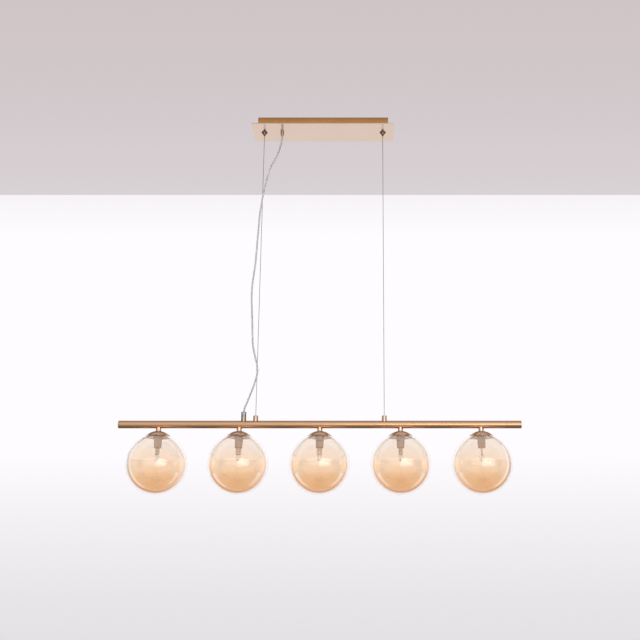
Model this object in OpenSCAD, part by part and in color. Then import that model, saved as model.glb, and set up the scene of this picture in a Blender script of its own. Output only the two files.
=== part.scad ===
// Linear pendant lamp: a round bar with five glass globes, hung on two steel
// cables from a flat ceiling canopy. Millimetres. The origin is the middle of
// the face that meets the ceiling, +Z is up and the bar lies along X.

/* [Bar] */
// Length of the bar over its end caps
bar_len = 1000; // [960:10:1400]
// Outside diameter of the bar
bar_d = 19; // [18:0.5:24]
// Wall of the bar's tube
bar_wall = 1.2; // [0.8:0.1:1.6]
// Drop from the ceiling to the middle of the bar
bar_drop = 824; // [600:2:1600]
// Part of each end cap that shows beyond the tube
end_cap_len = 4.5; // [2:0.5:12]
// Length of the end cap's plug inside the tube
end_plug_len = 10; // [5:1:20]

/* [Lamps] */
// Distance from the bar's end to the middle of the first lamp
lamp_inset = 100; // [80:5:150]
// Outside diameter of the tube between the bar and a cap
stem_d = 13; // [11:0.5:16]
// Height of that tube under the bar
stem_len = 6.6; // [5:0.2:30]
// Outside diameter of the threaded nipple in the tube
nipple_d = 8; // [7.6:0.1:8.6]
// Bore of the nipple, for the wires
nipple_bore = 5.2; // [4:0.1:6]
// Turn of each lampholder about its stem
holder_turn = [-50, -20, 0, 60, 82]; // [-90:1:90]

/* [Cap] */
// Diameter of the domed cap at its rim
cap_d = 61; // [46:1:66]
// Height of the dome
cap_h = 13; // [10:0.5:14]
// Wall of the cap
cap_wall = 0.8; // [0.6:0.1:1.2]
// Wall of the ring inside the cap that the glass neck turns into
cap_ring_wall = 1; // [0.8:0.1:1.5]

/* [Globe] */
// Outside diameter of the glass globe
globe_d = 150; // [130:1:190]
// Wall of the glass
globe_wall = 4; // [2:0.5:6]
// Outside diameter of the neck that turns into the cap
neck_d = 29; // [28:0.5:32]
// Diameter of the opening through the neck
neck_hole_d = 24.4; // [24:0.2:26]

/* [Lampholder] */
// Diameter of the holder's cover at its top
holder_top_d = 22; // [21:0.5:23]
// Diameter of the holder's cover at its mouth
holder_mouth_d = 18; // [17.5:0.1:20]
// Length of the cover
holder_len = 39.5; // [34:0.5:50]
// Wall of the cover
holder_wall = 0.8; // [0.6:0.1:1]
// Diameter of the ceramic insert
socket_d = 15.6; // [15:0.2:16]
// Depth of the insert's face inside the mouth
socket_recess = 0.6; // [0.2:0.2:4]
// Depth of the oval seat for the bulb's foot
seat_depth = 3.5; // [2:0.5:6]

/* [Bulb] */
// Distance between the two pins
pin_pitch = 9; // [8:0.5:10]
// Diameter of a pin
pin_d = 1.8; // [1.2:0.1:2]
// Length of a pin above the foot
pin_len = 8; // [6:0.5:12]
// Width of the flat foot
foot_w = 13.6; // [12.5:0.1:14]
// Thickness of the flat foot
foot_t = 4.8; // [3.5:0.1:5.5]
// Height of the foot
foot_h = 19; // [14:0.5:22]
// Diameter of the glass capsule
capsule_d = 12.6; // [11:0.2:13]
// Length of the capsule below the foot
capsule_len = 18; // [15:0.5:24]
// Wall of the capsule
capsule_wall = 0.8; // [0.5:0.1:1.2]
// Diameter of the filament's coil
filament_d = 1.4; // [1:0.1:2]

/* [Canopy] */
// Length of the canopy's box
canopy_len = 348; // [300:1:365]
// Width of the box
canopy_wid = 75; // [68:1:90]
// Height of the box
canopy_h = 23.5; // [22:0.5:40]
// Sheet of the box
canopy_wall = 1; // [0.8:0.1:1.5]
// Gap between the box and the ceiling
ceiling_gap = 2.5; // [2.2:0.1:5]
// Length of the face plate
plate_len = 380; // [375:1:420]
// Width of the face plate
plate_wid = 105; // [95:1:130]
// Thickness of the face plate
plate_t = 2; // [1.5:0.1:3]

/* [Ceiling bracket] */
// Distance of the strip's end inside the canopy's end
bracket_inset = 11; // [9:0.5:30]
// Width of the strip
bracket_wid = 56; // [40:1:64]
// Sheet of the bracket
bracket_t = 2; // [1.5:0.1:2.1]
// Width of the legs at its ends
leg_wid = 40; // [20:1:40]
// Drop of the leg to its outward step
leg_step = 5; // [4:0.5:7]
// Depth of the leg's foot below the ceiling
leg_depth = 19; // [17:0.5:20]
// Distance between the two slots for ceiling screws
slot_pitch = 200; // [140:5:260]
// Length of a slot, end to end
slot_len = 12; // [8:0.5:20]
// Width of a slot
slot_w = 5; // [4:0.2:6]
// Place of the mains hole along the strip
feed_x = 45; // [30:1:70]
// Diameter of the mains hole
feed_d = 16; // [10:0.5:24]
// Diameter of the screws at the canopy's ends
end_screw_d = 4; // [3:0.5:5]
// Length of those screws under the head
end_screw_len = 8; // [6:0.5:12]
// Distance of those screws below the ceiling
end_screw_z = 13; // [12:0.5:15]

/* [Suspension] */
// Distance of a cable from the canopy's end
cable_inset = 14; // [12:0.5:30]
// Diameter of a cable
cable_d = 1.5; // [1:0.1:1.8]
// Diameter of a cable grip's flange
grip_flange_d = 16; // [14:0.5:22]
// Thickness of the flange
grip_flange_t = 1.5; // [1:0.1:3]
// Height of the cone below the flange
grip_cone_h = 5; // [3:0.5:8]
// Diameter of the cone at the flange
grip_cone_d = 12; // [11:0.5:14]
// Diameter of the cone's tip
grip_tip_d = 7.4; // [6.6:0.1:9]
// Diameter of the threaded shank through the canopy
grip_shank_d = 10; // [9.6:0.1:12]
// Diameter of the release nose
nose_d = 4.6; // [4:0.1:5]
// Part of the nose that shows under the cone
nose_out = 4; // [3:0.5:6]
// Travel of the nose when it is pressed
nose_travel = 2; // [1:0.1:2.5]
// Diameter of the collet bead that holds the cable
collet_d = 5.4; // [5:0.1:5.8]
// Diameter of the ball at the cable's lower end
ball_d = 5; // [4.4:0.1:5.4]
// Diameter of a cable seat on the bar
seat_d = 12; // [11:0.5:15]
// Height of a cable seat above the bar
seat_h = 12.5; // [12:0.5:18]
// Diameter of the studs that go into the bar
stud_d = 8; // [7.6:0.1:8.6]

/* [Power cord] */
// Diameter of the cord
cord_d = 4.5; // [3.5:0.1:5]
// Place of the cord's grip on the canopy
cord_top_x = -112; // [-130:1:-100]
// Diameter of that grip
cord_top_d = 9; // [8.4:0.1:12]
// Height of that grip under the plate
cord_top_h = 9; // [6:0.5:14]
// Diameter of the shank of that grip
cord_shank_d = 7.6; // [7.2:0.1:8.2]
// Distance of the cord's grip on the bar outside the left cable
cord_bar_gap = 30; // [23:1:37]
// Diameter of that grip and its collar
cord_bar_d = 12.5; // [11:0.5:16]
// Height of the grip's gold body above the bar
cord_bar_h = 13.2; // [12:0.2:20]
// Height of the clear collar on top of it
collar_h = 9; // [6:0.5:14]
// Height of the clip that ties the cord to the cable
clip_h = 6; // [4:0.5:10]
// Wall of the clip around the cord
clip_wall = 1.4; // [1:0.1:2]

/* [Wiring] */
// Length of the terminal block
block_len = 30; // [20:1:40]
// Width of the terminal block
block_wid = 18; // [14:1:24]
// Height of the terminal block
block_h = 14; // [11:0.5:15]
// Place of its left end along the canopy
block_x = -88; // [-92:1:-70]
// Diameter of a single wire
wire_d = 1.6; // [1.2:0.1:1.8]

/* [Fits] */
// Gap around parts that turn or slide
run_gap = 0.3; // [0.2:0.05:0.4]
// Gap around screws, shanks and seated parts
seat_gap = 0.05; // [0.02:0.01:0.1]
// Height of the nuts
nut_h = 3; // [2.5:0.1:3.5]

/* [Hidden] */
$fn = 64;
hair = 0.01;
// How far a cut runs past the face that it opens
over = 1;
LAMPS = 5;
KINDS = ["stem", "cap", "holder", "socket", "globe", "bulb"];

// Heights of the canopy's layers
box_top = -ceiling_gap;
box_bottom = box_top - canopy_h;
floor_z = box_bottom + canopy_wall;
bracket_len = canopy_len - 2 * bracket_inset;
plate_bottom = box_bottom - plate_t;

// The bar
bar_r = bar_d / 2;
bore_r = bar_r - bar_wall;
bar_z = -bar_drop;
tube_half = bar_len / 2 - end_cap_len;
lamp_pitch = (bar_len - 2 * lamp_inset) / (LAMPS - 1);
lamp_xs = [for (i = [1:LAMPS]) (i - (LAMPS + 1) / 2) * lamp_pitch];

// A lamp's heights, from the bar down
cap_r = cap_d / 2;
dome_r = (cap_r * cap_r + cap_h * cap_h) / (2 * cap_h);
cap_top = bar_z - bar_r - stem_len;
rim_z = cap_top - cap_h;
dome_z = cap_top - dome_r;
globe_r = globe_d / 2;
cleared_r = globe_r + run_gap;
globe_z = rim_z - sqrt(cleared_r * cleared_r - cap_r * cap_r);
neck_r = neck_d / 2;
neck_top = dome_under(neck_r + run_gap) - run_gap;
ring_r = neck_r + run_gap;
ring_bottom = globe_z + sqrt(cleared_r * cleared_r - ring_r * ring_r) + run_gap;
nipple_lip = 1.5;
nipple_nut_rim = 1.5;
stem_dip = 2;
filament_share = 0.55;
pin_root = 1;
holder_top = dome_under(holder_top_d / 2) - seat_gap;
holder_mouth = holder_top - holder_len;
nipple_af = nipple_d + 2 * nipple_nut_rim;
nipple_top = nut_seat(nipple_af / 2) + nut_h + seat_gap;
nipple_bottom = holder_top - holder_wall - nipple_lip;
socket_top = nipple_bottom - run_gap;
socket_face = holder_mouth + socket_recess;
foot_top = socket_face + seat_depth - seat_gap;
foot_bottom = foot_top - foot_h;
pinch_dip = 2.2;
lead_d = 0.8;
filament_z = foot_bottom - filament_share * capsule_len;

// The suspension
cable_x = canopy_len / 2 - cable_inset;
cord_bar_x = -(cable_x + cord_bar_gap);
grip_bottom = plate_bottom - grip_flange_t - grip_cone_h;
nose_bottom = grip_bottom - nose_out;
nose_rise = 0.5;
nose_top = plate_bottom + nose_rise;
collet_flat = 0.9;
collet_z = nose_top + nose_travel + run_gap + collet_flat * collet_d / 2;
collet_bottom = collet_z - collet_flat * collet_d / 2;
grip_roof = 0.7;
shank_top = collet_z + collet_d / 2 + run_gap + grip_roof;
ball_flat = 0.9;
seat_roof = 2.5;
seat_top = bar_z + bar_r + seat_h;
ball_z = seat_top - seat_roof - ball_d / 2;
ball_top = ball_z + ball_flat * ball_d / 2;
cable_slack = 0.5;
cable_hole_d = cable_d + 2 * cable_slack;
stud_dip = 2.5;
stud_bottom = bar_z + stud_dip;
stud_nut_rim = 1.2;
stud_af = stud_d + 2 * stud_nut_rim;

// The cord's route, from inside the canopy's grip to inside the bar's grip
CORD_PATH = [
    [-112, 0, -19], [-112, 0, -30], [-112, 0, -40], [-112.6, -0.5, -50],
    [-114.5, -1, -62], [-118, -2, -78], [-124, -3, -98], [-131, -4, -113],
    [-138, -5, -128], [-144, -5, -145], [-148, -5, -160], [-153, -5, -186],
    [-158.5, -5, -215], [-162.5, -5, -243], [-165.5, -5, -272],
    [-167, -5, -300], [-168.5, -5, -328], [-170, -5, -356],
    [-171.5, -4.5, -384], [-173.5, -4, -411], [-176.5, -4, -438],
    [-179, -4, -465], [-179.6, -4, -492], [-178.4, -4, -519],
    [-176.8, -4, -546], [-175.4, -4, -572], [-174, -4, -598],
    [-171.8, -4, -625], [-166.5, -4, -650], [-161.5, -4, -668],
    [-159, -4, -686], [-160.4, -4, -702], [-167, -4, -727],
    [-176, -3.5, -752], [-183.4, -1.6, -771], [-188, -0.4, -782],
    [-190, 0, -792], [-190, 0, -800], [-190, 0, -811]];
CORD_STEPS = 2;
CORD_SIDES = 8;
CLIP_POINT = [-159, -4, -686];
cord_end_z = -811;
cord_start_z = -19;

// Height of the dome's underside at a radius from its middle
function dome_under(r) = dome_z + sqrt(pow(dome_r - cap_wall, 2) - r * r);
// Height of the tube's inner floor under a flat nut of that half width
function nut_seat(half) = bar_z - sqrt(bore_r * bore_r - half * half);
// Point at share t of the smooth curve from b to c
function curve(a, b, c, d, t) = 0.5 * (2 * b + (c - a) * t
    + (2 * a - 5 * b + 4 * c - d) * t * t + (3 * b - a - 3 * c + d) * t * t * t);
function smooth(p, n) = [
    for (i = [0:len(p) - 2], k = [0:n - 1])
        curve(p[max(i - 1, 0)], p[i], p[i + 1], p[min(i + 2, len(p) - 1)], k / n),
    p[len(p) - 1]];
function unit(v) = v / norm(v);
function heading(p, i) = unit(p[min(i + 1, len(p) - 1)] - p[max(i - 1, 0)]);
// One ring of points round the route, square to its heading
function ring(p, i, r, sides) =
    let (t = heading(p, i), u = unit(cross(t, [0, 1, 0])), v = cross(t, u))
    [for (s = [0:sides - 1]) p[i] + r * (cos(360 * s / sides) * u + sin(360 * s / sides) * v)];
function route_length(p) = len(p) < 2 ? 0
    : norm(p[1] - p[0]) + route_length([for (i = [1:len(p) - 1]) p[i]]);

module sweep(p, r, sides) {
    rings = [for (i = [0:len(p) - 1]) each ring(p, i, r, sides)];
    last = (len(p) - 1) * sides;
    sides_faces = [for (i = [0:len(p) - 2], s = [0:sides - 1])
        [i * sides + s, i * sides + (s + 1) % sides,
         (i + 1) * sides + (s + 1) % sides, (i + 1) * sides + s]];
    polyhedron(rings, concat(sides_faces,
        [[for (s = [sides - 1:-1:0]) s]], [[for (s = [0:sides - 1]) last + s]]));
}

module rod(d, z0, z1) {
    translate([0, 0, min(z0, z1)]) cylinder(d = d, h = abs(z1 - z0));
}
module at_x(x) { translate([x, 0, 0]) children(); }
module along_x(d, x0, x1) {
    translate([x0, 0, 0]) rotate([0, 90, 0]) cylinder(d = d, h = x1 - x0);
}
module block(size, low) { translate([-size[0] / 2, -size[1] / 2, low]) cube(size); }
// A hexagon nut with its flats facing front and back
module nut(af, bore, low) {
    difference() {
        translate([0, 0, low]) cylinder(d = af / cos(30), h = nut_h, $fn = 6);
        rod(bore + 2 * seat_gap, low - over, low + nut_h + over);
    }
}

module slot(x) {
    half = (slot_len - slot_w) / 2;
    for (s = [-half, half]) at_x(x + s) rod(slot_w, -bracket_t - over, over);
    at_x(x) block([2 * half, slot_w, bracket_t + 2 * over], -bracket_t - over);
}
// Stepped leg at one end of the bracket, that the canopy's end screw holds
module bracket_leg() {
    riser_x = bracket_len / 2 - bracket_t;
    tab_x = canopy_len / 2 - canopy_wall - run_gap;
    translate([riser_x, -leg_wid / 2, -leg_step]) cube([bracket_t, leg_wid, leg_step]);
    translate([riser_x, -leg_wid / 2, -leg_step]) cube([tab_x - riser_x, leg_wid, bracket_t]);
    translate([tab_x - bracket_t, -leg_wid / 2, -leg_depth])
        cube([bracket_t, leg_wid, leg_depth - leg_step + bracket_t]);
}
module ceiling_bracket() {
    color("lightgray") difference() {
        union() {
            block([bracket_len, bracket_wid, bracket_t], -bracket_t);
            bracket_leg();
            mirror([1, 0, 0]) bracket_leg();
        }
        slot(-slot_pitch / 2);
        slot(slot_pitch / 2);
        at_x(feed_x) rod(feed_d, -bracket_t - over, over);
        for (s = [-1, 1]) translate([s * canopy_len / 2, 0, -end_screw_z])
            along_x(end_screw_d + 2 * seat_gap, -end_screw_len, end_screw_len);
    }
}
// Holes that the grips' shanks pass through
module canopy_holes(low, high) {
    for (x = [-cable_x, cable_x]) at_x(x) rod(grip_shank_d + 2 * seat_gap, low, high);
    at_x(cord_top_x) rod(cord_shank_d + 2 * seat_gap, low, high);
}
module canopy_box() {
    color("peru") difference() {
        block([canopy_len, canopy_wid, canopy_h], box_bottom);
        block([canopy_len - 2 * canopy_wall, canopy_wid - 2 * canopy_wall, canopy_h], floor_z);
        canopy_holes(box_bottom - over, floor_z + over);
        for (s = [-1, 1]) translate([s * canopy_len / 2, 0, -end_screw_z])
            along_x(end_screw_d + 2 * run_gap, -canopy_wall - over, canopy_wall + over);
    }
}
module canopy_plate() {
    color("wheat") difference() {
        block([plate_len, plate_wid, plate_t], plate_bottom);
        canopy_holes(plate_bottom - over, box_bottom + over);
    }
}
module canopy_screws() {
    head_h = 2.2;
    slot_deep = 1;
    color("peru") for (s = [0, 1]) mirror([s, 0, 0])
        translate([canopy_len / 2, 0, -end_screw_z]) difference() {
            union() {
                along_x(2 * end_screw_d, seat_gap, head_h);
                along_x(end_screw_d, -end_screw_len, head_h / 2);
            }
            translate([head_h - slot_deep, -end_screw_d / 2, -slot_deep / 2])
                cube([slot_deep + over, end_screw_d, slot_deep]);
        }
}

TERMINALS = 3;
terminal_screw_d = 3.5;
terminal_depth = 6;
terminal_sunk = 0.6;
function terminal_y(k) = (k - (TERMINALS - 1) / 2) * block_wid / TERMINALS;
module each_terminal() {
    for (k = [0:TERMINALS - 1], x = [0.25, 0.75])
        translate([block_x + x * block_len, terminal_y(k), floor_z + block_h]) children();
}
module terminal_block() {
    color("white") difference() {
        at_x(block_x + block_len / 2) block([block_len, block_wid, block_h], floor_z);
        each_terminal() rod(terminal_screw_d + 2 * seat_gap, -terminal_depth, over);
    }
}
module terminal_screws() {
    color("lightgray") each_terminal() difference() {
        rod(terminal_screw_d, seat_gap - terminal_depth, -terminal_sunk);
        block([terminal_screw_d + over, terminal_sunk, over + 1], -terminal_sunk - 1);
    }
}
module canopy_wires() {
    bend = 3.5;
    wire_gap = 1.2;
    run = block_x - cord_top_x - bend;
    color("white") for (y = [-wire_gap, wire_gap])
        translate([cord_top_x, y, cord_start_z]) {
            translate([bend, 0, 0]) rotate([90, 0, 0]) rotate([0, 0, 90])
                rotate_extrude(angle = 90) translate([bend, 0]) circle(d = wire_d);
            translate([0, 0, bend]) along_x(wire_d, bend, bend + run);
        }
}

module cable_grip() {
    color("tan") difference() {
        union() {
            rod(grip_flange_d, plate_bottom, plate_bottom - grip_flange_t);
            translate([0, 0, grip_bottom])
                cylinder(d1 = grip_tip_d, d2 = grip_cone_d, h = grip_cone_h + hair);
            rod(grip_shank_d, plate_bottom - grip_flange_t, shank_top);
        }
        rod(nose_d + 2 * run_gap, grip_bottom - over, collet_bottom - run_gap);
        rod(collet_d + 2 * run_gap, collet_bottom - run_gap - hair, shank_top - grip_roof);
        rod(cable_hole_d, shank_top - over, shank_top + over);
    }
}
module release_nose() {
    chamfer = 0.8;
    color("tan") difference() {
        union() {
            rod(nose_d, nose_bottom + chamfer, nose_top);
            translate([0, 0, nose_bottom])
                cylinder(d1 = nose_d - 2 * chamfer, d2 = nose_d, h = chamfer + hair);
        }
        rod(cable_hole_d, nose_bottom - over, nose_top + over);
    }
}
// A round bead on a cable with one flat, where the cable meets it
module bead(d, z, flat) {
    difference() {
        translate([0, 0, z]) sphere(d = d);
        block([d, d, d], flat > z ? flat : flat - d);
    }
}
module grip_nuts() {
    nut_rim = 4;
    color("lightgray") {
        for (x = [-cable_x, cable_x]) at_x(x) nut(grip_shank_d + nut_rim, grip_shank_d, floor_z);
        at_x(cord_top_x) nut(cord_shank_d + nut_rim, cord_shank_d, floor_z);
    }
}
module cord_grip_top() {
    color("tan") at_x(cord_top_x) difference() {
        union() {
            rod(cord_top_d, plate_bottom - cord_top_h, plate_bottom);
            rod(cord_shank_d, plate_bottom - 1, floor_z + nut_h + 1);
        }
        rod(cord_d + 2 * run_gap, plate_bottom - cord_top_h - over, 0);
    }
}
module cable(x) {
    color("silver") at_x(x) rod(cable_d, ball_top, collet_bottom);
}
module power_cord() {
    route = smooth(CORD_PATH, CORD_STEPS);
    echo(cord_length = route_length(route), rings = len(route));
    color("gainsboro") sweep(route, cord_d / 2, CORD_SIDES);
}
// Clear clip with one bore for the cord and one for the cable
module cord_clip() {
    cord_hole = cord_d + 2 * run_gap;
    cable_hole = cable_d + 2 * run_gap;
    low = CLIP_POINT[2] - clip_h / 2;
    color("white") difference() {
        union() {
            translate([CLIP_POINT[0], CLIP_POINT[1], low])
                cylinder(d = cord_hole + 2 * clip_wall, h = clip_h);
            translate([-cable_x, 0, low]) cylinder(d = cable_hole + 2 * clip_wall, h = clip_h);
        }
        translate([CLIP_POINT[0], CLIP_POINT[1], low - over])
            cylinder(d = cord_hole, h = clip_h + 2 * over);
        translate([-cable_x, 0, low - over]) cylinder(d = cable_hole, h = clip_h + 2 * over);
    }
}

// What sits on or in the tube keeps clear of its outside by the seat gap
module bar_saddle() {
    translate([0, 0, bar_z]) along_x(bar_d + 2 * seat_gap, -bar_len, bar_len);
}
module bar_tube() {
    color("darkgoldenrod") difference() {
        translate([0, 0, bar_z]) along_x(bar_d, -tube_half, tube_half);
        translate([0, 0, bar_z]) along_x(2 * bore_r, -tube_half - over, tube_half + over);
        for (x = lamp_xs) at_x(x) rod(nipple_d + 2 * seat_gap, bar_z - bar_d, bar_z);
        for (x = [-cable_x, cable_x, cord_bar_x]) at_x(x)
            rod(stud_d + 2 * seat_gap, bar_z, bar_z + bar_d);
    }
}
module end_cap() {
    color("darkgoldenrod") translate([0, 0, bar_z]) {
        along_x(bar_d, tube_half, bar_len / 2);
        along_x(2 * (bore_r - seat_gap), tube_half - end_plug_len, tube_half + 1);
    }
}
module cable_seat() {
    color("tan") difference() {
        union() {
            rod(seat_d, bar_z, seat_top);
            rod(stud_d, stud_bottom, bar_z + bar_r);
        }
        difference() {
            bar_saddle();
            rod(stud_d, stud_bottom, bar_z + bar_r);
        }
        rod(ball_d + 2 * run_gap, stud_bottom - over, ball_top + run_gap);
        rod(cable_hole_d, ball_top, seat_top + over);
    }
}
module cord_grip_bar() {
    color("tan") at_x(cord_bar_x) difference() {
        union() {
            rod(cord_bar_d, bar_z, bar_z + bar_r + cord_bar_h);
            rod(stud_d, stud_bottom, bar_z + bar_r);
        }
        difference() {
            bar_saddle();
            rod(stud_d, stud_bottom, bar_z + bar_r);
        }
        rod(cord_d + 2 * run_gap, stud_bottom - over, bar_z + bar_r + cord_bar_h + over);
    }
}
module cord_collar() {
    low = bar_z + bar_r + cord_bar_h;
    color("gainsboro") at_x(cord_bar_x) difference() {
        rod(cord_bar_d, low, low + collar_h);
        rod(cord_d + 2 * run_gap, low - over, low + collar_h + over);
    }
}
module lock_nuts() {
    color("lightgray") {
        for (x = lamp_xs) at_x(x) nut(nipple_af, nipple_d, nut_seat(nipple_af / 2) + seat_gap);
        for (x = [-cable_x, cable_x, cord_bar_x]) at_x(x)
            nut(stud_af, stud_d, 2 * bar_z - nut_seat(stud_af / 2) - nut_h - seat_gap);
    }
}
// Two wires along the tube, each with a branch down to every lampholder
module wire_loom() {
    wire_z = bar_z;
    color("white") for (y = [-1, 1]) translate([0, y, 0]) {
        translate([0, 0, wire_z]) along_x(wire_d, cord_bar_x, lamp_xs[LAMPS - 1]);
        translate([0, 0, wire_z]) along_x(wire_d, lamp_xs[0], cord_bar_x + hair);
        for (x = lamp_xs) at_x(x) rod(wire_d, wire_z, socket_top + seat_gap);
        at_x(cord_bar_x) rod(wire_d, wire_z, cord_end_z);
        for (x = [lamp_xs[0], lamp_xs[LAMPS - 1]]) translate([x, 0, wire_z]) sphere(d = wire_d);
    }
}

module stem(x) {
    color("tan") at_x(x) difference() {
        union() {
            rod(stem_d, cap_top - stem_dip, bar_z);
            rod(nipple_d, nipple_bottom, nipple_top);
        }
        difference() {
            union() {
                bar_saddle();
                translate([0, 0, dome_z]) sphere(r = dome_r + seat_gap);
            }
            rod(nipple_d, nipple_bottom, nipple_top);
        }
        rod(nipple_bore, nipple_bottom - over, nipple_top + over);
    }
}
module cap(x) {
    color("tan") at_x(x) difference() {
        union() {
            difference() {
                translate([0, 0, dome_z]) sphere(r = dome_r);
                translate([0, 0, dome_z]) sphere(r = dome_r - cap_wall);
                block([3 * dome_r, 3 * dome_r, 3 * dome_r], rim_z - 3 * dome_r);
                translate([0, 0, globe_z]) sphere(r = cleared_r);
            }
            intersection() {
                difference() {
                    rod(2 * (ring_r + cap_ring_wall), ring_bottom, cap_top);
                    rod(2 * ring_r, ring_bottom - over, cap_top + over);
                }
                translate([0, 0, dome_z]) sphere(r = dome_r - cap_wall / 2);
            }
        }
        rod(nipple_d + 2 * seat_gap, rim_z, cap_top + over);
    }
}
module holder(i) {
    color("tan") at_x(lamp_xs[i]) difference() {
        translate([0, 0, holder_mouth])
            cylinder(d1 = holder_mouth_d, d2 = holder_top_d, h = holder_len);
        translate([0, 0, holder_mouth - hair])
            cylinder(d1 = holder_mouth_d - 2 * holder_wall, d2 = holder_top_d - 2 * holder_wall,
                     h = holder_len - holder_wall);
        rod(nipple_d + 2 * seat_gap, holder_mouth, holder_top + over);
    }
}
module both_pins() {
    for (s = [-1, 1]) at_x(s * pin_pitch / 2) children();
}
module socket(i) {
    color("ivory") at_x(lamp_xs[i]) rotate(holder_turn[i]) difference() {
        rod(socket_d, socket_face, socket_top);
        block([foot_w + 2 * seat_gap, foot_t + 2 * seat_gap, seat_depth + over], socket_face - over);
        both_pins() rod(pin_d + 2 * seat_gap, socket_face, socket_face + seat_depth + pin_len + 1);
    }
}
module globe(x) {
    color("moccasin", 0.5) at_x(x) difference() {
        union() {
            translate([0, 0, globe_z]) sphere(r = globe_r);
            rod(neck_d, globe_z, neck_top);
        }
        translate([0, 0, globe_z]) sphere(r = globe_r - globe_wall);
        rod(neck_hole_d, globe_z, neck_top + over);
    }
}
// Outline of the capsule, or of its inside, as half a section
module capsule_half(r, low, high) {
    intersection() {
        union() {
            translate([0, low + r]) circle(r = r);
            translate([0, high - r]) circle(r = r);
            translate([-r, low + r]) square([2 * r, high - low - 2 * r]);
        }
        translate([0, low - over]) square([r + over, high - low + 2 * over]);
    }
}
module bulb(i) {
    tip = foot_bottom - capsule_len;
    lead_x = capsule_d / 5;
    color("lightcyan") at_x(lamp_xs[i]) rotate(holder_turn[i]) {
        block([foot_w, foot_t, foot_h + pinch_dip], foot_bottom - pinch_dip);
        difference() {
            rotate_extrude() capsule_half(capsule_d / 2, tip, foot_bottom);
            rotate_extrude() capsule_half(capsule_d / 2 - capsule_wall, tip + capsule_wall,
                                          foot_bottom - capsule_wall);
        }
        both_pins() rod(pin_d, foot_top - pin_root, foot_top + pin_len);
        for (s = [-1, 1]) at_x(s * lead_x) rod(lead_d, filament_z, foot_bottom);
        translate([0, 0, filament_z]) along_x(filament_d, -lead_x - lead_d, lead_x + lead_d);
    }
}

ceiling_bracket();
canopy_box();
canopy_plate();
canopy_screws();
terminal_block();
terminal_screws();
canopy_wires();
at_x(-cable_x) cable_grip();  // cable_grip_left
at_x(cable_x) cable_grip();  // cable_grip_right
grip_nuts();
cord_grip_top();
at_x(-cable_x) release_nose();  // release_nose_left
at_x(cable_x) release_nose();  // release_nose_right
at_x(-cable_x) bead(collet_d, collet_z, collet_bottom);  // collet_left
at_x(cable_x) bead(collet_d, collet_z, collet_bottom);  // collet_right
cable(-cable_x);  // cable_left
cable(cable_x);  // cable_right
power_cord();
cord_clip();
at_x(-cable_x) bead(ball_d, ball_z, ball_top);  // cable_ball_left
at_x(cable_x) bead(ball_d, ball_z, ball_top);  // cable_ball_right
bar_tube();
mirror([1, 0, 0]) end_cap();  // end_cap_left
end_cap();  // end_cap_right
at_x(-cable_x) cable_seat();  // cable_seat_left
at_x(cable_x) cable_seat();  // cable_seat_right
cord_grip_bar();
cord_collar();
lock_nuts();
wire_loom();
for (i = [0:LAMPS - 1]) {
    stem(lamp_xs[i]);
    cap(lamp_xs[i]);
    holder(i);
    socket(i);
    globe(lamp_xs[i]);
    bulb(i);
}
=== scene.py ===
import math

import bmesh
import bpy
from mathutils import Matrix, Vector


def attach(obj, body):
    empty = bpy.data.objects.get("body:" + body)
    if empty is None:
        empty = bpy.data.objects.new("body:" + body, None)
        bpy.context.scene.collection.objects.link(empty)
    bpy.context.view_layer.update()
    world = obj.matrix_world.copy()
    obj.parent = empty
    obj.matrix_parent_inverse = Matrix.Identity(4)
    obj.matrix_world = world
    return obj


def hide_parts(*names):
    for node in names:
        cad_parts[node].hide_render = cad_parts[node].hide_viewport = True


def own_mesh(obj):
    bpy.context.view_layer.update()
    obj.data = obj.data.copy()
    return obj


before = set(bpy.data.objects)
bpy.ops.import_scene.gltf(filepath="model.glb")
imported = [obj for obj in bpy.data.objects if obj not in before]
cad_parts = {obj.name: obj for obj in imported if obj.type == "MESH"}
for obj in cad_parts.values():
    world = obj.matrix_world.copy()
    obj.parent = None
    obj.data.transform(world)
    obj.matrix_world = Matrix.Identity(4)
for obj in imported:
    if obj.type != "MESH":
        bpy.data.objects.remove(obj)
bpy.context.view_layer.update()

MM = 0.001
FRAME_PIXELS = 640
FOCAL_PIXELS = 933

# Sizes of the lamp and its heights below the ceiling, in metres.
CANOPY_END = 0.174
BOX_FRONT = 0.0375
BOX_TOP = -0.0025
BOX_BOTTOM = -0.026
BOX_SHEET = 0.001
PLATE_END = 0.19
PLATE_FRONT = 0.0525
PLATE_BOTTOM = -0.028
SCREW_Z = -0.013

CABLE_X = 0.16
SIDES = (("left", -CABLE_X), ("right", CABLE_X))
CABLE_TOP = -0.0252
CABLE_END = -0.80475
CABLE_HOLE_R = 0.00095
SEAT_TOP = -0.802

CORD_TOP_X = -0.112
CORD_BAR_X = -0.19
CORD_D = 0.0045
CORD_HOLE_R = 0.00255
CORE_R = 0.00082
CORE_OFFSET = 0.00098
CORE_TURN = 0.062

BAR_Z = -0.824
BAR_R = 0.0095
BAR_END = 0.5
TUBE_END = 0.4955
TUBE_BORE_R = 0.0083
GLAND_R = 0.00625
THREAD_R = 0.004

LAMPS = [-0.4, -0.2, 0.0, 0.2, 0.4]
HOLDER_TURNS = [-50, -20, 0, 60, 82]
STEM_R = 0.0065
WIRE_HOLE_R = 0.0026
CAP_TOP = -0.8401
CAP_SHEET = 0.0008
RIM_Z = -0.8531
RIM_R = 0.0305
DOME_R = 0.042279
GLOBE_R = 0.075
INNER_R = 0.071
GLOBE_Z = -0.921946
NECK_TOP = -0.84393
RING_BOTTOM = -0.847815
NIPPLE_TOP = -0.82717
NIPPLE_END = -0.844735
HOLDER_TOP = -0.842435
HOLDER_MOUTH = -0.881935
FOOT_TOP = -0.877885
FOOT_BOTTOM = -0.896885

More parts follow.
